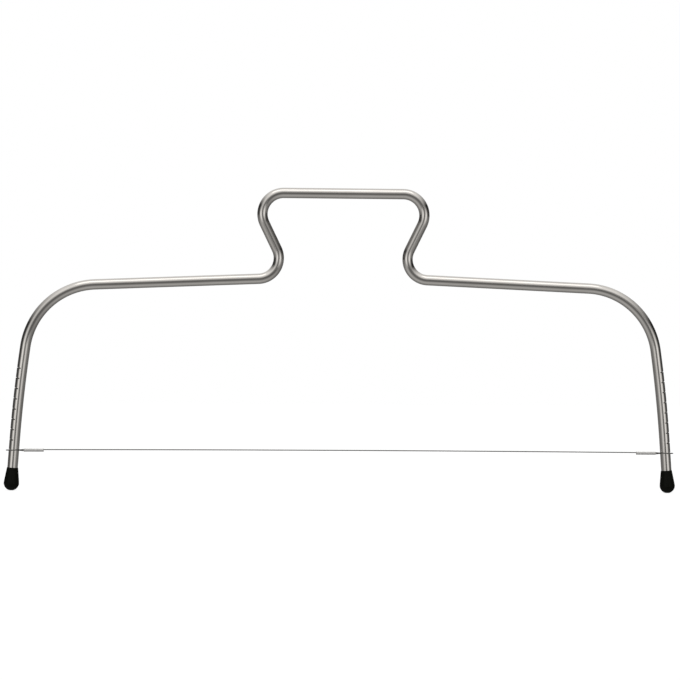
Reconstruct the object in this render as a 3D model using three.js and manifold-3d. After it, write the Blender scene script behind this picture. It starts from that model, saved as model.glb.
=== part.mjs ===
// A cake leveler: one bent rod with a handle, a soft tip on each leg, and a cutting wire that hooks into
// notches down the legs. Millimetres, +Z up. The frame stands in the XZ plane on its two tips, and the
// origin lies on the table halfway between them.

import * as THREE from 'three';
import { mergeVertices } from 'three/addons/utils/BufferGeometryUtils.js';
import Module from 'manifold-3d';

const wasm = await Module();
wasm.setup();

const degrees = THREE.MathUtils.degToRad;

// The rod, from the middle of the handle down to the foot. Lengths and radii follow its centre line.
const rodDiameter = 5.1;
const overallHeight = 148.45;
const gripStraight = 58.6;
const gripBendRadius = 10.4;
const neckLean = degrees(25.9);
const neckStraight = 13.9;
const neckBendRadius = 10.2;
const barDroop = degrees(2.45);
const barStraight = 79.8;
const shoulderRadius = 35.3;
const shoulderSplay = degrees(8);
const bowRadius = 665;
const footSplay = degrees(4);

// The notches down the outer side of each leg. The lowest is set out from the rod's cut end. Each slopes
// down towards the front.
const notchCount = 9;
const notchPitch = 5;
const notchWidth = 0.55;
const notchDepth = 2;
const notchSlope = degrees(8.5);
const lowestNotch = 16.7;

// The soft tips: a cone from a thin lip, then a round end that is flat where it stands.
const tipDiameter = 7.5;
const tipConeLength = 7.4;
const tipDomeDepth = 4;
const tipFlatDepth = 0.32;
const tipLip = 0.12;
const socketDepth = 8;
const socketPlay = 0.05;

// The cutting wire and the loop at each end of it. The throat is where the loop leaves its sleeve, measured
// from the leg, and the lead is how far it runs straight from there.
const wireDiameter = 0.5;
const loopThroat = 4.8;
const loopLead = 0.5;
const loopReach = 1.45;
const loopPlay = 0.35;
const loopSeat = 1;
const loopGap = 0.3;

// The crimp sleeve holds the wire above the loop's tail.
const sleeveLength = 9.6;
const sleeveWall = 0.2;
const sleevePlay = 0.05;

// How finely round things are divided.
const rodSides = 20;
const wireSides = 10;
const tipSides = 28;
const tightBendSteps = 12;
const shoulderSteps = 16;
const bowSteps = 6;
const loopSteps = 44;
const domeSteps = 8;

// One overrun serves every cut.
const cutOverrun = 1;

const rodRadius = rodDiameter / 2;
const wireRadius = wireDiameter / 2;

const stainless = new THREE.MeshStandardMaterial({ color: 0xb8b5ae, roughness: 0.25, metalness: 1 });
const springSteel = new THREE.MeshStandardMaterial({ color: 0x9c9a95, roughness: 0.3, metalness: 1 });
const crimpSteel = new THREE.MeshStandardMaterial({ color: 0xc4c2bd, roughness: 0.35, metalness: 1 });
const softPlastic = new THREE.MeshStandardMaterial({ color: 0x121311, roughness: 0.55, metalness: 0 });

// Solids

function toSolid(geometry) {
  const bare = geometry.clone();
  bare.deleteAttribute('normal');
  bare.deleteAttribute('uv');
  const merged = mergeVertices(bare);
  const vertProperties = new Float32Array(merged.attributes.position.array);
  const triVerts = new Uint32Array(merged.index.array);
  return new wasm.Manifold(new wasm.Mesh({ numProp: 3, vertProperties, triVerts }));
}

function toGeometry(solid) {
  const { vertProperties, triVerts } = solid.getMesh();
  const geometry = new THREE.BufferGeometry();
  geometry.setAttribute('position', new THREE.BufferAttribute(vertProperties, 3));
  geometry.setIndex(new THREE.BufferAttribute(triVerts, 1));
  geometry.computeVertexNormals();
  return geometry;
}

function disc(radius) {
  return new THREE.Shape().absarc(0, 0, radius, 0, 2 * Math.PI);
}

function sweep(shape, sides, curve, steps) {
  return new THREE.ExtrudeGeometry(shape, { curveSegments: sides / 2, steps, extrudePath: curve });
}

function named(name, geometry, material) {
  const mesh = new THREE.Mesh(geometry, material);
  mesh.name = name;
  return mesh;
}

// The rod's centre line
// A place on it is a point of the XZ plane and a heading, which is 0 towards +X. A run is a straight or a
// bend, and a bend turns left if its turn is positive.

function straight(length) {
  return { length, turn: 0, steps: 1 };
}

function bend(radius, turn, steps) {
  return { length: radius * Math.abs(turn), turn, steps };
}

function advance(place, run, distance) {
  const heading = place.heading + (run.turn * distance) / run.length;
  if (run.turn === 0) {
    const x = place.x + distance * Math.cos(heading);
    const z = place.z + distance * Math.sin(heading);
    return { x, z, heading };
  }
  const radius = run.length / run.turn;
  const x = place.x + radius * (Math.sin(heading) - Math.sin(place.heading));
  const z = place.z - radius * (Math.cos(heading) - Math.cos(place.heading));
  return { x, z, heading };
}

const gripMiddle = { x: 0, z: overallHeight - rodRadius, heading: 0 };

const runsToLeg = [
  straight(gripStraight / 2),
  bend(gripBendRadius, -(Math.PI / 2 + neckLean), tightBendSteps),
  straight(neckStraight),
  bend(neckBendRadius, Math.PI / 2 + neckLean - barDroop, tightBendSteps),
  straight(barStraight),
  bend(shoulderRadius, -(Math.PI / 2 - barDroop - shoulderSplay), shoulderSteps),
  bend(bowRadius, -(shoulderSplay - footSplay), bowSteps),
];

// The leg runs straight from there to the table, and the rod's end stops at the floor of the tip's socket.
// A tip is turned about the middle of its dome.
const legTop = runsToLeg.reduce((place, run) => advance(place, run, run.length), gripMiddle);
const tipRadius = tipDiameter / 2;
const domeReach = Math.hypot(tipRadius * Math.sin(footSplay), tipDomeDepth * Math.cos(footSplay));
const domeHeight = domeReach - tipFlatDepth;
const legTopToDome = (legTop.z - domeHeight) / Math.cos(footSplay);
const domeToRodEnd = tipConeLength - socketDepth + socketPlay;
const rodRuns = [...runsToLeg, straight(legTopToDome - domeToRodEnd)];
const halfLength = rodRuns.reduce((sum, run) => sum + run.length, 0);
const domeMiddle = advance(legTop, straight(legTopToDome), legTopToDome);

function placeAt(distance) {
  let place = gripMiddle;
  let left = distance;
  for (const run of rodRuns) {
    if (left <= run.length) return advance(place, run, left);
    place = advance(place, run, run.length);
    left -= run.length;
  }
  return place;
}

// The whole rod from the left foot to the right foot. Each straight is one step and each bend has its own.
class RodCurve extends THREE.Curve {
  constructor() {
    super();
    const right = [];
    let place = gripMiddle;
    for (const run of rodRuns) {
      for (let step = 1; step <= run.steps; step += 1) {
        right.push(advance(place, run, (run.length * step) / run.steps));
      }
      place = advance(place, run, run.length);
    }
    const left = right.map(({ x, z, heading }) => ({ x: -x, z, heading: -heading })).reverse();
    this.places = [...left, ...right];
    this.steps = this.places.length - 1;
  }

  getPointAt(share, target = new THREE.Vector3()) {
    const { x, z } = this.places[Math.round(share * this.steps)];
    return target.set(x, 0, z);
  }

  getTangentAt(share, target = new THREE.Vector3()) {
    const { heading } = this.places[Math.round(share * this.steps)];
    return target.set(Math.cos(heading), 0, Math.sin(heading));
  }
}

// The notches, from the lowest up
const notches = [];
for (let index = 0; index < notchCount; index += 1) {
  notches.push(placeAt(halfLength - lowestNotch - index * notchPitch));
}
const lowest = notches[0];
const highest = notches[notchCount - 1];
const takeUp = lowest.x - highest.x;

function notchCutter(place, side) {
  const depth = notchDepth + cutOverrun;
  const across = rodDiameter + 2 * cutOverrun;
  const box = new THREE.BoxGeometry(depth, across, notchWidth);
  box.translate(rodRadius - notchDepth + depth / 2, 0, 0);
  box.rotateX(side * notchSlope);
  box.rotateY(-(place.heading + Math.PI / 2));
  box.translate(place.x, 0, place.z);
  if (side < 0) box.rotateZ(Math.PI);
  return toSolid(box);
}

function makeFrameRod() {
  const curve = new RodCurve();
  let solid = toSolid(sweep(disc(rodRadius), rodSides, curve, curve.steps));
  for (const side of [-1, 1]) {
    for (const place of notches) solid = solid.subtract(notchCutter(place, side));
  }
  return named('frame_rod', toGeometry(solid), stainless);
}

// A soft tip, lathed about its own Y axis with the middle of its dome at the origin, then cut flat
// where it stands on the table
function makeFootTip(name, side) {
  const socketRadius = rodRadius + socketPlay;
  const socketFloor = tipConeLength - socketDepth;
  const profile = [];
  for (let step = 0; step <= domeSteps; step += 1) {
    const angle = (Math.PI / 2) * (step / domeSteps);
    profile.push(new THREE.Vector2(tipRadius * Math.sin(angle), -tipDomeDepth * Math.cos(angle)));
  }
  profile[0].x = 0;
  profile.push(new THREE.Vector2(socketRadius + tipLip, tipConeLength));
  profile.push(new THREE.Vector2(socketRadius, tipConeLength));
  profile.push(new THREE.Vector2(socketRadius, socketFloor));
  profile.push(new THREE.Vector2(0, socketFloor));
  const body = new THREE.LatheGeometry(profile, tipSides);
  body.rotateX(Math.PI / 2);
  body.rotateY(-side * footSplay);

  const slab = new THREE.BoxGeometry(tipDiameter, tipDiameter, tipDomeDepth);
  slab.translate(0, 0, -domeHeight - tipDomeDepth / 2);
  const mesh = named(name, toGeometry(toSolid(body).subtract(toSolid(slab))), softPlastic);
  mesh.position.set(side * domeMiddle.x, 0, domeMiddle.z);
  return mesh;
}

// The wire's loop, in the plane across the leg. Its outline is given as shares of the loop's length from
// the throat outwards, and of its half width. It leaves the sleeve at the wire's level, passes in front of
// the leg, and comes back behind it one strand lower as the tail.
const loopOutlineShares = [
  [0.1, 0.1],
  [0.22, 0.5],
  [0.38, 0.88],
  [0.55, 1],
  [0.75, 0.9],
  [0.92, 0.52],
];

const strandSpacing = wireDiameter + sleevePlay;
const loopTip = rodRadius + loopReach - wireRadius;
const loopLength = loopThroat + loopTip;
const loopHalfWidth = rodRadius + loopPlay + wireRadius;

function makeWireLoop(name, side) {
  const tailLength = sleeveLength - sleevePlay;
  const flank = loopOutlineShares.map(([along, across]) => [along * loopLength, across * loopHalfWidth]);
  const around = [
    [loopLead, 0],
    ...flank.map(([along, across]) => [along, -across]),
    [loopLength, 0],
    ...flank.toReversed(),
    [loopLead, 0],
  ];
  const place = (along, across, drop) => new THREE.Vector3(side * (along - loopThroat), across, -drop);
  const points = [
    place(-loopSeat, 0, 0),
    place(0, 0, 0),
    ...around.map(([along, across], index) => {
      return place(along, across, strandSpacing * (index / (around.length - 1)));
    }),
    place(0, 0, strandSpacing),
    place(-tailLength, 0, strandSpacing),
  ];
  const curve = new THREE.CatmullRomCurve3(points, false, 'centripetal');
  const mesh = named(name, sweep(disc(wireRadius), wireSides, curve, loopSteps), springSteel);
  mesh.position.set(side * lowest.x, 0, lowest.z);
  return mesh;
}

// A rounded slot shape, upright, with its two round centres a strand apart
function stadium(radius) {
  const shape = new THREE.Shape();
  shape.absarc(0, strandSpacing / 2, radius, 0, Math.PI);
  shape.absarc(0, -strandSpacing / 2, radius, Math.PI, 2 * Math.PI);
  shape.closePath();
  return shape;
}

function makeCrimpSleeve(name, side) {
  const boreRadius = wireRadius + sleevePlay;
  const section = stadium(boreRadius + sleeveWall);
  section.holes.push(stadium(boreRadius));
  const options = { depth: sleeveLength, curveSegments: wireSides / 2, bevelEnabled: false };
  const tube = new THREE.ExtrudeGeometry(section, options);
  tube.translate(0, 0, -sleeveLength / 2);
  tube.rotateX(Math.PI / 2);
  tube.rotateZ(Math.PI / 2);
  const mesh = named(name, tube, crimpSteel);
  const fromLeg = loopThroat + sleeveLength / 2;
  mesh.position.set(side * (lowest.x - fromLeg), 0, lowest.z - strandSpacing / 2);
  return mesh;
}

// The taut span ends inside the sleeves, far enough back for the loops to draw together by the take-up
// as the wire climbs the leaning legs
function makeCuttingWire() {
  const halfSpan = lowest.x - loopThroat - loopSeat - loopGap - takeUp;
  const rod = new THREE.CylinderGeometry(wireRadius, wireRadius, 2 * halfSpan, wireSides);
  const mesh = named('cutting_wire', rod, springSteel);
  mesh.rotation.z = Math.PI / 2;
  mesh.position.z = lowest.z;
  return mesh;
}

const frame = new THREE.Group();
frame.add(makeFrameRod(), makeFootTip('left_foot_tip', -1), makeFootTip('right_foot_tip', 1));

const leftEnd = new THREE.Group();
leftEnd.add(makeWireLoop('left_wire_loop', -1), makeCrimpSleeve('left_crimp_sleeve', -1));

const rightEnd = new THREE.Group();
rightEnd.add(makeWireLoop('right_wire_loop', 1), makeCrimpSleeve('right_crimp_sleeve', 1));

const cakeLeveler = new THREE.Group();
cakeLeveler.add(frame, makeCuttingWire(), leftEnd, rightEnd);

export default cakeLeveler;
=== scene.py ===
import math

import bmesh
import bpy
from mathutils import Matrix, Vector


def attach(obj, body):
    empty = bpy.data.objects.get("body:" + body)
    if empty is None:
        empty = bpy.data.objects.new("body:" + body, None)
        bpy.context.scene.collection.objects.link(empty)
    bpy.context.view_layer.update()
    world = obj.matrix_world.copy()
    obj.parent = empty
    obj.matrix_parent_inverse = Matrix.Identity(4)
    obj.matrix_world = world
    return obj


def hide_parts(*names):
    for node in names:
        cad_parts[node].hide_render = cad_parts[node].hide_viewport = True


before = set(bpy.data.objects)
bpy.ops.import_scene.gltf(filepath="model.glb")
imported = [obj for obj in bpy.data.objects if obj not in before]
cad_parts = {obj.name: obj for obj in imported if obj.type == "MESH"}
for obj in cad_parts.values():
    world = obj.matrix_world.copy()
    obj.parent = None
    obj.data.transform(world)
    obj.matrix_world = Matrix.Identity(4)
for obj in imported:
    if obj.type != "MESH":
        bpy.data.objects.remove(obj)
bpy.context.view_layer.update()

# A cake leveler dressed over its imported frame. Metres, in the frame's own axes. The sizes below are the
# model's own, repeated so that the fine pieces lie where its plain ones do. Two things differ: the ends of the
# tips are rounder here, and the wire bows up a little.

mm = 0.001
rod_radius = 2.55 * mm
overall_height = 148.45 * mm
grip_straight = 58.6 * mm
grip_bend_radius = 10.4 * mm
neck_lean = math.radians(25.9)
neck_straight = 13.9 * mm
neck_bend_radius = 10.2 * mm
bar_droop = math.radians(2.45)
bar_straight = 79.8 * mm
shoulder_radius = 35.3 * mm
shoulder_splay = math.radians(8)
bow_radius = 665 * mm
foot_splay = math.radians(4)

notch_count = 9
notch_pitch = 5 * mm
notch_width = 0.55 * mm
notch_depth = 2 * mm
notch_slope = math.radians(8.5)
lowest_notch = 16.7 * mm

tip_radius = 3.75 * mm
tip_cone_length = 7.4 * mm
tip_dome_depth = 3.8 * mm
tip_flat_depth = 0.12 * mm
tip_mouth_radius = 2.72 * mm
socket_radius = 2.6 * mm
socket_depth = 8 * mm
socket_play = 0.05 * mm

wire_radius = 0.25 * mm
wire_bow = 0.38 * mm
loop_throat = 4.8 * mm
loop_lead = 0.5 * mm
loop_reach = 1.45 * mm
loop_play = 0.35 * mm
loop_seat = 1 * mm
loop_gap = 0.3 * mm
sleeve_length = 9.6 * mm
sleeve_wall = 0.2 * mm
sleeve_play = 0.05 * mm
strand_spacing = 2 * wire_radius + sleeve_play


# Meshes

sharp_angle = math.radians(35)


def mesh_object(name, verts, faces, uvs, material):
    """A smooth mesh with one UV pair for each corner of each face."""
    mesh = bpy.data.meshes.new(name)
    mesh.from_pydata(verts, [], faces)
    layer = mesh.uv_layers.new(name="along")
    flat = [value for face in uvs for pair in face for value in pair]
    layer.data.foreach_set("uv", flat)
    mesh.validate()
    mesh.shade_smooth()
    mesh.set_sharp_from_angle(angle=sharp_angle)
    mesh.materials.append(material)
    obj = bpy.data.objects.new(name, mesh)
    bpy.context.scene.collection.objects.link(obj)
    return obj


def skin(name, rings, distances, material, capped=True):
    """Joins rings of equal count into a tube. U runs round the ring and V is the distance along it."""
    count = len(rings[0])
    verts = [point for ring in rings for point in ring]
    faces, uvs = [], []
    for i in range(len(rings) - 1):
        for j in range(count):
            k = (j + 1) % count
            faces.append((i * count + j, i * count + k, (i + 1) * count + k, (i + 1) * count + j))
            u0, u1 = j / count, (j + 1) / count
            v0, v1 = distances[i], distances[i + 1]
            uvs.append(((u0, v0), (u1, v0), (u1, v1), (u0, v1)))
    if capped:
        last = (len(rings) - 1) * count
        faces.append(tuple(reversed(range(count))))
        uvs.append(tuple((0.5, distances[0]) for _ in range(count)))
        faces.append(tuple(last + j for j in range(count)))
        uvs.append(tuple((0.5, distances[-1]) for _ in range(count)))
    return mesh_object(name, verts, faces, uvs, material)


def tidy(obj, distance=1e-7):
    """Welds points that coincide and drops faces with no area."""
    work = bmesh.new()
    work.from_mesh(obj.data)
    bmesh.ops.remove_doubles(work, verts=work.verts, dist=distance)
    bmesh.ops.dissolve_degenerate(work, edges=work.edges, dist=distance)
    bmesh.ops.recalc_face_normals(work, faces=work.faces)
    work.to_mesh(obj.data)
    work.free()
    obj.data.shade_smooth()
    obj.data.set_sharp_from_angle(angle=sharp_angle)


# Materials

def new_material(name):
    material = bpy.data.materials.new(name)
    material.use_nodes = True
    tree = material.node_tree
    return material, tree, tree.nodes["Principled BSDF"]


def add(tree, kind, **values):
    node = tree.nodes.new(kind)
    for key, value in values.items():
        setattr(node, key, value)
    return node


def maths(tree, operation, a, b=None, clamp=False):
    node = add(tree, "ShaderNodeMath", operation=operation, use_clamp=clamp)
    for socket, value in zip(node.inputs, (a, b)):
        if value is None:
            continue
        if isinstance(value, (int, float)):
            socket.default_value = value
        else:
            tree.links.new(value, socket)
    return node.outputs[0]


def noise(tree, vector, scale, detail=2.0, roughness=0.5):
    node = add(tree, "ShaderNodeTexNoise")
    node.inputs["Scale"].default_value = scale
    node.inputs["Detail"].default_value = detail
    node.inputs["Roughness"].default_value = roughness
    tree.links.new(vector, node.inputs["Vector"])
    return node.outputs["Fac"]


def ramp(tree, value, stops, top=1.0):
    """A colour ramp. A stop is a place and a grey or a colour, and greys may reach the top."""
    node = add(tree, "ShaderNodeValToRGB")
    elements = node.color_ramp.elements
    while len(elements) < len(stops):
        elements.new(0.5)
    for element, (place, colour) in zip(elements, stops):
        element.position = place
        if isinstance(colour, (int, float)):
            colour = (colour / top,) * 3
        element.color = (*colour, 1)
    tree.links.new(value, node.inputs[0])
    if top == 1.0:
        return node.outputs[0]
    return maths(tree, "MULTIPLY", node.outputs[0], top)


def mix(tree, factor, a, b):
    node = add(tree, "ShaderNodeMix", data_type="RGBA")
    for socket, value in ((node.inputs[0], factor), (node.inputs[6], a), (node.inputs[7], b)):
        if isinstance(value, (int, float, tuple)):
            socket.default_value = value
        else:
            tree.links.new(value, socket)
    return node.outputs[2]


def drawn_lines(tree, round_scale, length_scale):
    """A place on the drawn metal: it changes fast round the rod and slowly along it, with no seam."""
    split = add(tree, "ShaderNodeSeparateXYZ")
    tree.links.new(add(tree, "ShaderNodeUVMap", uv_map="along").outputs[0], split.inputs[0])
    angle = maths(tree, "MULTIPLY", split.outputs[0], 2 * math.pi)
    joined = add(tree, "ShaderNodeCombineXYZ")
    tree.links.new(maths(tree, "MULTIPLY", maths(tree, "COSINE", angle), round_scale), joined.inputs[0])
    tree.links.new(maths(tree, "MULTIPLY", maths(tree, "SINE", angle), round_scale), joined.inputs[1])
    tree.links.new(maths(tree, "MULTIPLY", split.outputs[1], length_scale), joined.inputs[2])
    return joined.outputs[0]


def metal(name, dark, light, smooth, rough, round_scale, length_scale, line_bump, pit_scale, notch_shade=None):
    """Drawn steel: fine lines along it, slow changes of tone, and scattered small marks. Faces marked "cut"
    are rougher and take a given dark colour, which is painted shade inside the notches."""
    material, tree, shader = new_material(name)
    shader.inputs["Metallic"].default_value = 1.0
    place = add(tree, "ShaderNodeTexCoord").outputs["Object"]
    lines = noise(tree, drawn_lines(tree, round_scale, length_scale), 1.0, 3.0, 0.6)
    broad = noise(tree, place, 60.0, 3.0, 0.55)
    pits = noise(tree, place, pit_scale, 2.0, 0.6)

    tone = maths(tree, "ADD", maths(tree, "MULTIPLY", lines, 0.5), maths(tree, "MULTIPLY", broad, 0.5))
    colour = ramp(tree, tone, ((0.32, dark), (0.68, light)))

    marks = ramp(tree, pits, ((0.56, 0.0), (0.74, 1.0)))
    uneven = maths(tree, "ADD", maths(tree, "MULTIPLY", lines, 0.75), maths(tree, "MULTIPLY", marks, 0.35))
    spread = add(tree, "ShaderNodeMapRange")
    spread.inputs["From Min"].default_value = 0.2
    spread.inputs["From Max"].default_value = 0.75
    spread.inputs["To Min"].default_value = smooth
    spread.inputs["To Max"].default_value = rough
    tree.links.new(uneven, spread.inputs["Value"])
    roughness = spread.outputs[0]
    if notch_shade:
        # Painted shade: the notches' faces are darkened to stand for the shade inside the narrow slots.
        cut = add(tree, "ShaderNodeAttribute", attribute_name="cut").outputs["Fac"]
        paler = tuple(1.8 * c for c in notch_shade)
        colour = mix(tree, cut, colour, ramp(tree, pits, ((0.3, notch_shade), (0.7, paler))))
        roughness = maths(tree, "ADD", roughness, maths(tree, "MULTIPLY", cut, 0.4))
    tree.links.new(colour, shader.inputs["Base Color"])
    tree.links.new(roughness, shader.inputs["Roughness"])

    bump = add(tree, "ShaderNodeBump")
    bump.inputs["Strength"].default_value = line_bump
    bump.inputs["Distance"].default_value = 0.01 * mm
    relief = maths(tree, "SUBTRACT", lines, maths(tree, "MULTIPLY", marks, 0.4))
    tree.links.new(relief, bump.inputs["Height"])
    tree.links.new(bump.outputs[0], shader.inputs["Normal"])
    return material


# The rod's last colour is painted shade for the insides of the notches.
rod_steel = metal(
    "rod_steel", dark=(0.672, 0.642, 0.602), light=(0.752, 0.722, 0.682), smooth=0.08, rough=0.2,
    round_scale=9.0, length_scale=60.0, line_bump=0.4, pit_scale=2600.0, notch_shade=(0.2, 0.19, 0.175))
# The wire's greys are far darker than bare steel. This is painted shade, laid evenly over the whole wire.
wire_steel = metal(
    "wire_steel", dark=(0.15, 0.146, 0.138), light=(0.21, 0.205, 0.196), smooth=0.2, rough=0.36,
    round_scale=5.0, length_scale=400.0, line_bump=0.3, pit_scale=9000.0)
sleeve_steel = metal(
    "sleeve_steel", dark=(0.78, 0.77, 0.75), light=(0.88, 0.87, 0.85), smooth=0.48, rough=0.62,
    round_scale=6.0, length_scale=500.0, line_bump=0.4, pit_scale=5000.0)
scuff_height = 2.2 * mm


def soft_plastic():
    """Black moulded plastic, finely grained, a little greyer and rougher where it stands on the table."""
    material, tree, shader = new_material("soft_black")
    place = add(tree, "ShaderNodeTexCoord").outputs["Object"]
    height = add(tree, "ShaderNodeSeparateXYZ")
    tree.links.new(place, height.inputs[0])
    low = add(tree, "ShaderNodeMapRange")
    low.inputs["From Min"].default_value = scuff_height
    low.inputs["From Max"].default_value = 0.0
    tree.links.new(height.outputs[2], low.inputs["Value"])
    scuffs = ramp(tree, noise(tree, place, 1400.0, 4.0, 0.65), ((0.48, 0.0), (0.66, 1.0)))
    worn = maths(tree, "MULTIPLY", low.outputs[0], scuffs)
    colour = ramp(tree, worn, ((0.0, (0.0028, 0.0033, 0.0012)), (1.0, (0.02, 0.0195, 0.0175))))
    tree.links.new(colour, shader.inputs["Base Color"])
    broad = noise(tree, place, 320.0, 3.0, 0.5)
    uneven = maths(tree, "ADD", maths(tree, "MULTIPLY", broad, 0.14), maths(tree, "MULTIPLY", worn, 0.18))
    tree.links.new(maths(tree, "ADD", uneven, 0.42), shader.inputs["Roughness"])
    shader.inputs["Specular IOR Level"].default_value = 0.12
    grain = noise(tree, place, 7000.0, 2.0, 0.5)
    bump = add(tree, "ShaderNodeBump")
    bump.inputs["Strength"].default_value = 0.35
    bump.inputs["Distance"].default_value = 0.02 * mm
    tree.links.new(grain, bump.inputs["Height"])
    tree.links.new(bump.outputs[0], shader.inputs["Normal"])
    return material


soft_black = soft_plastic()


# The rod's centre line: runs of a length and a turn, from the middle of the handle to the right foot. A
# place is a point of the XZ plane and a heading, 0 towards +X.

def straight(length):
    return (length, 0.0)


def bend(radius, turn):
    return (radius * abs(turn), turn)


def advance(place, run, distance):
    x, z, heading = place
    length, turn = run
    if turn == 0:
        return (x + distance * math.cos(heading), z + distance * math.sin(heading), heading)
    radius = length / turn
    new = heading + turn * distance / length
    across = radius * (math.sin(new) - math.sin(heading))
    down = radius * (math.cos(new) - math.cos(heading))
    return (x + across, z - down, new)


grip_middle = (0.0, overall_height - rod_radius, 0.0)
runs = [
    straight(grip_straight / 2),
    bend(grip_bend_radius, -(math.pi / 2 + neck_lean)),
    straight(neck_straight),
    bend(neck_bend_radius, math.pi / 2 + neck_lean - bar_droop),
    straight(bar_straight),
    bend(shoulder_radius, -(math.pi / 2 - bar_droop - shoulder_splay)),
    bend(bow_radius, -(shoulder_splay - foot_splay)),
]
leg_top = grip_middle
for run in runs:
    leg_top = advance(leg_top, run, run[0])
dome_reach = math.hypot(tip_radius * math.sin(foot_splay), tip_dome_depth * math.cos(foot_splay))
dome_height = dome_reach - tip_flat_depth
leg_to_dome = (leg_top[1] - dome_height) / math.cos(foot_splay)
dome_middle = advance(leg_top, straight(leg_to_dome), leg_to_dome)
dome_to_rod_end = tip_cone_length - socket_depth + socket_play
runs.append(straight(leg_to_dome - dome_to_rod_end))
half_length = sum(run[0] for run in runs)


def place_at(distance):
    place, left = grip_middle, distance
    for run in runs:
        if left <= run[0]:
            return advance(place, run, left)
        place = advance(place, run, run[0])
        left -= run[0]
    return place


notch_distances = [half_length - lowest_notch - i * notch_pitch for i in range(notch_count)]
lowest = place_at(notch_distances[0])
highest = place_at(notch_distances[-1])
take_up = lowest[0] - highest[0]


# The rod: full rings, and across each notch rings cut back to the notch's rounded floor

ring_sides = 72
straight_step = 2.5 * mm
bend_step = 0.9 * mm
tight_turn = 0.5
notch_steps = 8
notch_margin = 0.1 * mm
slope_reach = 6 * mm
slope_fade = 4 * mm
notch_edge = math.acos((rod_radius - notch_depth) / rod_radius)


def ring_angles():
    """Even angles from the outer side round, with one moved onto the edge of the notch's floor each way."""
    angles = [2 * math.pi * j / ring_sides for j in range(ring_sides)]
    for edge in (notch_edge, 2 * math.pi - notch_edge):
        nearest = min(range(ring_sides), key=lambda j: abs(angles[j] - edge))
        angles[nearest] = edge
    return angles


def rod_stations():
    """(distance, how far out the ring reaches) down the right half."""
    whole = rod_radius
    out = []
    distance = 0.0
    for length, turn in runs:
        step = bend_step if abs(turn) > tight_turn else straight_step
        count = max(1, math.ceil(length / step))
        out += [(distance + length * i / count, whole) for i in range(count)]
        distance += length
    out.append((half_length, whole))
    floor_radius = notch_width / 2
    for centre in notch_distances:
        near = (centre - floor_radius, centre + floor_radius)
        out = [s for s in out if not near[0] - notch_margin < s[0] < near[1] + notch_margin]
        floor = rod_radius - notch_depth
        out.append((near[0], whole))
        for i in range(notch_steps + 1):
            along = -math.cos(math.pi * i / notch_steps) * floor_radius
            rise = floor_radius - math.sqrt(max(0.0, floor_radius ** 2 - along ** 2))
            out.append((centre + along, floor + rise))
        out.append((near[1], whole))
        out.sort(key=lambda s: s[0])
    return out


def sloped(distance):
    """How much of the notches' slope the rings take at a distance: all of it among them, none further off."""
    above = (distance - notch_distances[-1] + slope_reach) / slope_fade
    below = (notch_distances[0] + slope_reach - distance) / slope_fade
    return max(0.0, min(1.0, above, below))


def rod_ring(distance, reach, angles, side):
    """Points from the outer side over the back, each further down the rod the nearer it is to the front."""
    ring = []
    for angle in angles:
        out = min(rod_radius * math.cos(angle), reach)
        across = rod_radius * math.sin(angle)
        x, z, heading = place_at(distance - across * math.tan(notch_slope) * sloped(distance))
        ring.append((side * (x - out * math.sin(heading)), across, z + out * math.cos(heading)))
    return ring


def frame_rod():
    angles = ring_angles()
    right = rod_stations()
    rings, distances = [], []
    facing = [math.cos(angle) for angle in angles]
    depths = [reach for _, reach in reversed(right[1:])] + [reach for _, reach in right]
    for distance, reach in reversed(right[1:]):
        rings.append(rod_ring(distance, reach, angles, -1))
        distances.append(-distance)
    for distance, reach in right:
        rings.append(rod_ring(distance, reach, angles, 1))
        distances.append(distance)
    rod = skin("rod", rings, distances, rod_steel)
    # Marks the notches' faces. The rod's material darkens them with painted shade and makes them rougher.
    cut = rod.data.attributes.new("cut", "FLOAT", "FACE")
    cut_reach = rod_radius - 0.3 * mm
    cut_facing = math.cos(notch_edge) - 1e-6
    for face in rod.data.polygons:
        if len(face.vertices) == 4:
            inside = any(depths[v // len(angles)] < cut_reach for v in face.vertices)
            near = all(facing[v % len(angles)] > cut_facing for v in face.vertices)
            cut.data[face.index].value = 1.0 if inside and near else 0.0
    tidy(rod)
    return rod


rod = frame_rod()
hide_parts("frame_rod")
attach(rod, "frame")


# The soft tips, lathed about their own axis with the middle of the dome at its foot

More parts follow.
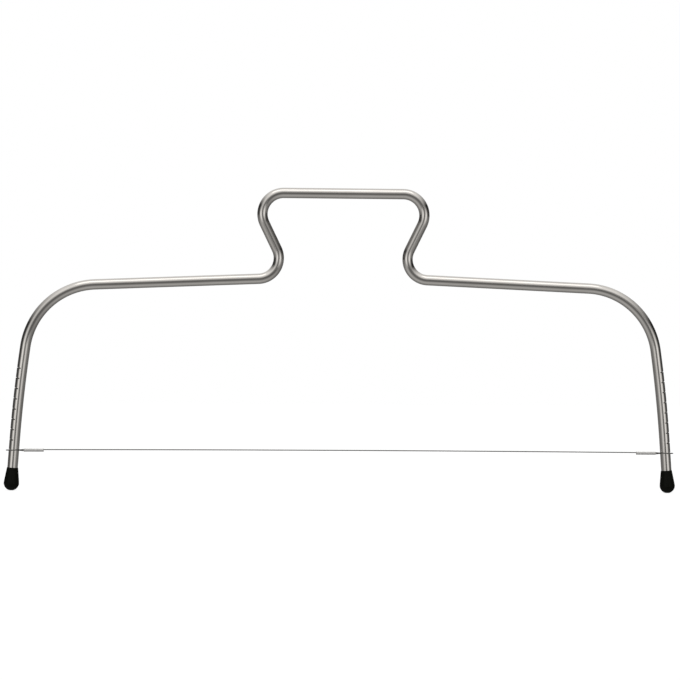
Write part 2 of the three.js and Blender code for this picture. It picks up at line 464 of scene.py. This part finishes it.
def foot_tip(name, side):
    lip = 0.16 * mm
    corner = 0.5 * mm
    rim_radius = tip_radius - 0.02 * mm
    rim_drop = 0.12 * mm
    socket_step = 1.5 * mm
    dome_steps, cone_steps, lip_steps = 22, 12, 6
    profile = []
    for i in range(dome_steps + 1):
        angle = 0.5 * math.pi * i / dome_steps
        profile.append((tip_radius * math.sin(angle), -tip_dome_depth * math.cos(angle)))
    slope = (tip_radius - tip_mouth_radius) / tip_cone_length
    profile[-1] = (rim_radius, -rim_drop)
    profile.append((rim_radius - slope * corner, corner))
    for i in range(1, cone_steps):
        up = corner + (tip_cone_length - corner - lip) * i / cone_steps
        profile.append((tip_radius - slope * up, up))
    for i in range(lip_steps + 1):
        angle = 0.5 * math.pi * i / lip_steps
        radius = tip_mouth_radius - lip * (1 - math.cos(angle))
        profile.append((radius, tip_cone_length - lip + lip * math.sin(angle)))
    profile.append((socket_radius, tip_cone_length))
    profile.append((socket_radius, tip_cone_length - socket_step))
    profile.append((socket_radius, tip_cone_length - socket_depth))
    profile.append((0.0, tip_cone_length - socket_depth))
    sides = 64
    lean = side * foot_splay
    rings, distances = [], []
    far = 0.0
    for i, (radius, up) in enumerate(profile):
        if i:
            far += math.dist(profile[i], profile[i - 1])
        ring = []
        for j in range(sides):
            angle = 2 * math.pi * j / sides
            x, y = radius * math.cos(angle), radius * math.sin(angle)
            px = x * math.cos(lean) - up * math.sin(lean)
            pz = max(x * math.sin(lean) + up * math.cos(lean), -dome_height)
            ring.append((side * dome_middle[0] + px, y, dome_middle[1] + pz))
        rings.append(ring)
        distances.append(far)
    tip = skin(name, rings, distances, soft_black, capped=False)
    tidy(tip)
    return tip


for side, word in ((-1, "left"), (1, "right")):
    tip = foot_tip(word + "_tip", side)
    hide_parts(word + "_foot_tip")
    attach(tip, "frame")


# Wire along a path

def catmull_rom(points, steps):
    """A centripetal curve through the points, as the model's loops use."""
    ends = [2 * Vector(points[0]) - Vector(points[1]), 2 * Vector(points[-1]) - Vector(points[-2])]
    p = [ends[0], *map(Vector, points), ends[1]]
    out = []
    for i in range(1, len(p) - 2):
        a, b, c, d = p[i - 1:i + 3]
        t0 = 0.0
        t1 = t0 + max((b - a).length, 1e-9) ** 0.5
        t2 = t1 + max((c - b).length, 1e-9) ** 0.5
        t3 = t2 + max((d - c).length, 1e-9) ** 0.5
        for step in range(steps):
            t = t1 + (t2 - t1) * step / steps
            a1 = a * (t1 - t) / (t1 - t0) + b * (t - t0) / (t1 - t0)
            a2 = b * (t2 - t) / (t2 - t1) + c * (t - t1) / (t2 - t1)
            a3 = c * (t3 - t) / (t3 - t2) + d * (t - t2) / (t3 - t2)
            b1 = a1 * (t2 - t) / (t2 - t0) + a2 * (t - t0) / (t2 - t0)
            b2 = a2 * (t3 - t) / (t3 - t1) + a3 * (t - t1) / (t3 - t1)
            out.append(b1 * (t2 - t) / (t2 - t1) + b2 * (t - t1) / (t2 - t1))
    out.append(p[-2])
    return out


def wire_along(name, path, radius, material, sides=24):
    """A round wire on a path, its rings turned as little as possible from one to the next."""
    normal = None
    rings, distances = [], []
    far = 0.0
    for i, point in enumerate(path):
        before, after = path[max(0, i - 1)], path[min(len(path) - 1, i + 1)]
        tangent = (after - before).normalized()
        if normal is None:
            normal = tangent.orthogonal().normalized()
        normal = (normal - tangent * normal.dot(tangent)).normalized()
        across = tangent.cross(normal)
        if i:
            far += (point - path[i - 1]).length
        ring = []
        for j in range(sides):
            angle = 2 * math.pi * j / sides
            ring.append(tuple(point + radius * (math.cos(angle) * normal + math.sin(angle) * across)))
        rings.append(ring)
        distances.append(far)
    return skin(name, rings, distances, material)


span_steps = 60
span_sides = 20
half_span = lowest[0] - loop_throat - loop_seat - loop_gap - take_up
span = []
for i in range(-span_steps, span_steps + 1):
    rise = wire_bow * (1 - (i / span_steps) ** 2)
    span.append(Vector((half_span * i / span_steps, 0.0, lowest[1] + rise)))
wire = wire_along("wire_span", span, wire_radius, wire_steel, span_sides)
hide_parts("cutting_wire")
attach(wire, "wire")

loop_outline = [(0.1, 0.1), (0.22, 0.5), (0.38, 0.88), (0.55, 1.0), (0.75, 0.9), (0.92, 0.52)]


def wire_loop(name, side):
    """Out of the sleeve at the wire's level, in front of the leg, round and back behind it a strand lower."""
    length = loop_throat + rod_radius + loop_reach - wire_radius
    half_width = rod_radius + loop_play + wire_radius
    curve_steps = 10
    flank = [(along * length, across * half_width) for along, across in loop_outline]
    front = [(a, -b) for a, b in flank]
    around = [(loop_lead, 0.0), *front, (length, 0.0), *reversed(flank), (loop_lead, 0.0)]

    def at(along, across, drop):
        return (side * (lowest[0] + along - loop_throat), across, lowest[1] - drop)

    tail = sleeve_length - sleeve_play
    points = [at(-loop_seat, 0, 0), at(0, 0, 0)]
    points += [at(a, b, strand_spacing * i / (len(around) - 1)) for i, (a, b) in enumerate(around)]
    points += [at(0, 0, strand_spacing), at(-tail, 0, strand_spacing)]
    return wire_along(name, catmull_rom(points, curve_steps), wire_radius, wire_steel)


def crimp_sleeve(name, side):
    """An oval tube pressed round both strands, with rounded mouths and three shallow press marks."""
    bore = wire_radius + sleeve_play
    outer = bore + sleeve_wall
    half = strand_spacing / 2
    edge = 0.12 * mm
    press_depth, press_width, press_places = 0.02 * mm, 0.055, (0.22, 0.5, 0.78)
    sides, edge_steps, body_steps = 48, 5, 96

    def ring(along, radius):
        points = []
        for j in range(sides):
            angle = 2 * math.pi * j / sides
            lift = half if math.sin(angle) >= 0 else -half
            y, z = radius * math.cos(angle), radius * math.sin(angle) + lift
            points.append((side * (lowest[0] - loop_throat - along), y, lowest[1] - half + z))
        return points

    stations = []
    for i in range(edge_steps + 1):
        angle = 0.5 * math.pi * i / edge_steps
        stations.append((edge * (1 - math.sin(angle)), outer - edge * (1 - math.cos(math.pi / 2 - angle))))
    stations.sort(key=lambda s: s[0])
    body = []
    for i in range(1, body_steps):
        along = edge + (sleeve_length - 2 * edge) * i / body_steps
        share = along / sleeve_length
        press = sum(math.exp(-((share - place) / press_width) ** 2) for place in press_places)
        body.append((along, outer - press_depth * press))
    far_end = [(sleeve_length - a, r) for a, r in reversed(stations)]
    outside = [*stations, *body, *far_end]
    inside = [(sleeve_length, bore), (0.0, bore)]
    loop = [*outside, *inside, outside[0]]
    rings = [ring(a, r) for a, r in loop]
    distances = [0.0]
    for i in range(1, len(loop)):
        distances.append(distances[-1] + math.dist(loop[i], loop[i - 1]))
    sleeve = skin(name, rings, distances, sleeve_steel, capped=False)
    tidy(sleeve)
    return sleeve


for side, word in ((-1, "left"), (1, "right")):
    loop = wire_loop(word + "_loop", side)
    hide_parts(word + "_wire_loop")
    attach(loop, word + "_wire_end")
    sleeve = crimp_sleeve(word + "_sleeve", side)
    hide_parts(word + "_crimp_sleeve")
    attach(sleeve, word + "_wire_end")


# The studio. To the camera everything round the object is white. The metal sees that white straight behind
# the object, a dark room in front, a glow at each side of the camera and a bright ceiling. In the lists
# below a stop's place is the angle from straight in front, as a share of the half turn to straight behind.
# Its second number is a grey, where 1 is white.

brightest = 1.5
ceiling_greys = ((0.0, 0.15), (0.05, 0.2), (0.2, 0.9), (0.3, 1.0), (0.55, 0.8), (1.0, 0.65))
wall_greys = (
    (0.0, 0.2), (0.04, 0.3), (0.15, 1.05), (0.22, 1.15), (0.36, 0.2), (0.45, 0.06), (0.65, 0.05),
    (0.85, 0.2), (1.0, 0.55))
skirting_greys = (
    (0.0, 0.2), (0.04, 0.3), (0.15, 1.0), (0.21, 0.94), (0.35, 0.3), (0.5, 0.18), (0.8, 0.18),
    (1.0, 0.52))
ground_greys = ((0.0, 0.15), (0.1, 0.15), (0.33, 0.5), (0.7, 0.18), (0.85, 0.2), (1.0, 0.55))
behind_share = ((0.95, 0.0), (0.98, 1.0))


def rising(tree, value, start, rate):
    """From 0 where the value is at the start up to 1, at the given rate."""
    return maths(tree, "MULTIPLY", maths(tree, "SUBTRACT", value, start), rate, clamp=True)


def crossing(tree, value, rate):
    """From 0 below nought to 1 above it, and a half at nought. The rate says how fast."""
    return maths(tree, "ADD", maths(tree, "MULTIPLY", value, rate), 0.5, clamp=True)


def studio_world():
    world = bpy.data.worlds.new("studio")
    bpy.context.scene.world = world
    world.use_nodes = True
    tree = world.node_tree
    background = tree.nodes["Background"]
    split = add(tree, "ShaderNodeSeparateXYZ")
    tree.links.new(add(tree, "ShaderNodeTexCoord").outputs["Generated"], split.inputs[0])
    x, y, z = split.outputs
    from_front = maths(tree, "DIVIDE", maths(tree, "ARCCOSINE", maths(tree, "MULTIPLY", y, -1.0)), math.pi)
    ceiling = ramp(tree, from_front, ceiling_greys, top=brightest)
    walls = ramp(tree, from_front, wall_greys, top=brightest)
    skirting = ramp(tree, from_front, skirting_greys, top=brightest)
    ground = ramp(tree, from_front, ground_greys, top=brightest)

    # How far a direction turns up or down rather than sideways: its sine, and its sine squared
    xx, zz = maths(tree, "MULTIPLY", x, x), maths(tree, "MULTIPLY", z, z)
    upright = maths(tree, "DIVIDE", zz, maths(tree, "ADD", maths(tree, "ADD", xx, zz), 1e-6))
    steep = maths(tree, "SQRT", upright)
    off_level = rising(tree, steep, 0.1, 3.3)
    overhead = rising(tree, steep, 0.42, 2.3)
    to_right = crossing(tree, x, 4.0)
    upper = crossing(tree, z, 16.0)

    # The glow beside the camera is low and wide on the right, and reaches higher on the left
    loss = maths(tree, "ADD", maths(tree, "MULTIPLY", to_right, 0.3), 0.45)
    kept = maths(tree, "SUBTRACT", 1.0, maths(tree, "MULTIPLY", off_level, loss))
    high = mix(tree, overhead, maths(tree, "MULTIPLY", walls, kept), ceiling)
    sideways = maths(tree, "SUBTRACT", 1.0, upright)
    dim = maths(tree, "MULTIPLY", sideways, maths(tree, "MULTIPLY", to_right, 0.5))
    low_ground = maths(tree, "MULTIPLY", ground, maths(tree, "SUBTRACT", 1.0, dim))
    low = mix(tree, off_level, skirting, low_ground)
    glow = mix(tree, upper, low, high)
    path = add(tree, "ShaderNodeLightPath")
    white = (1.0, 1.0, 1.0, 1.0)
    behind = ramp(tree, from_front, behind_share)
    mirrored = maths(tree, "MAXIMUM", path.outputs["Is Glossy Ray"], path.outputs["Is Transmission Ray"])
    seen = maths(tree, "MAXIMUM", path.outputs["Is Camera Ray"], maths(tree, "MULTIPLY", mirrored, behind))
    lit = mix(tree, path.outputs["Is Diffuse Ray"], glow, (0.8, 0.8, 0.8, 1.0))
    tree.links.new(mix(tree, seen, lit, white), background.inputs["Color"])
    background.inputs["Strength"].default_value = 1.0


floor_reach = 1.6
floor_drop = 0.02 * mm
floor_glow = 0.86


def studio_floor():
    """A pale matt board. The camera sees it white but for the object's shadow. Metal sees through it to the
    room below, as if the object stood on a clear table."""
    material, tree, shader = new_material("floor_paper")
    place = add(tree, "ShaderNodeTexCoord").outputs["Object"]
    fibre = noise(tree, place, 300.0, 4.0, 0.6)
    tree.links.new(ramp(tree, fibre, ((0.3, 0.2), (0.7, 0.22))), shader.inputs["Base Color"])
    shader.inputs["Roughness"].default_value = 1.0
    shader.inputs["Specular IOR Level"].default_value = 0.0
    path = add(tree, "ShaderNodeLightPath")
    shader.inputs["Emission Color"].default_value = (1.0, 1.0, 1.0, 1.0)
    seen_glow = maths(tree, "MULTIPLY", path.outputs["Is Camera Ray"], floor_glow)
    tree.links.new(seen_glow, shader.inputs["Emission Strength"])
    mirrored = maths(tree, "MAXIMUM", path.outputs["Is Glossy Ray"], path.outputs["Is Transmission Ray"])
    seen = add(tree, "ShaderNodeMixShader")
    tree.links.new(mirrored, seen.inputs[0])
    tree.links.new(shader.outputs[0], seen.inputs[1])
    tree.links.new(add(tree, "ShaderNodeBsdfTransparent").outputs[0], seen.inputs[2])
    tree.links.new(seen.outputs[0], tree.nodes["Material Output"].inputs["Surface"])
    mesh = bpy.data.meshes.new("floor")
    corners = [(x * floor_reach, y * floor_reach, 0) for x, y in ((-1, -1), (1, -1), (1, 1), (-1, 1))]
    mesh.from_pydata(corners, [], [(0, 1, 2, 3)])
    mesh.materials.append(material)
    floor = bpy.data.objects.new("floor", mesh)
    bpy.context.scene.collection.objects.link(floor)
    floor.location.z = -floor_drop


lamp_place = (0.0, -0.35, 1.0)
lamp_aim = (0.0, 0.0, 0.07)
lamp_size = (0.9, 0.5)
lamp_power = 1.0


def soft_lamp():
    """A large soft lamp above and in front, which gives the shadow."""
    data = bpy.data.lights.new("soft_lamp", "AREA")
    data.shape = "RECTANGLE"
    data.size, data.size_y = lamp_size
    data.energy = lamp_power
    lamp = bpy.data.objects.new("soft_lamp", data)
    bpy.context.scene.collection.objects.link(lamp)
    lamp.location = lamp_place
    lamp.rotation_mode = "QUATERNION"
    lamp.rotation_quaternion = (Vector(lamp_aim) - lamp.location).to_track_quat("-Z", "Y")
    lamp.visible_camera = False


studio_world()
studio_floor()
soft_lamp()


# The camera stands level with the middle of the leveler, a little to its left, and leans by 0.4 degrees.

camera_distance = 1.2
metres_per_pixel = 0.489572 * mm
yaw_sine = 0.0521
roll = math.radians(0.424)
aim = Vector((-1.303 * mm, 0.0, grip_middle[1] - 71.71 * mm))

sensor_width = 36.0
picture_width = 680

data = bpy.data.cameras.new("camera")
data.sensor_fit = "HORIZONTAL"
data.sensor_width = sensor_width
data.lens = camera_distance / metres_per_pixel * sensor_width / picture_width
camera = bpy.data.objects.new("camera", data)
bpy.context.scene.collection.objects.link(camera)
ahead = Vector((yaw_sine, math.sqrt(1 - yaw_sine ** 2), 0.0))
camera.location = aim - camera_distance * ahead
camera.rotation_mode = "QUATERNION"
turned = ahead.to_track_quat("-Z", "Y")
rolled = turned.to_matrix().to_4x4() @ Matrix.Rotation(roll, 4, "Z")
camera.rotation_quaternion = rolled.to_quaternion()
data.clip_start, data.clip_end = 0.01, 10.0
bpy.context.scene.camera = camera

bpy.context.scene.view_settings.view_transform = "Standard"
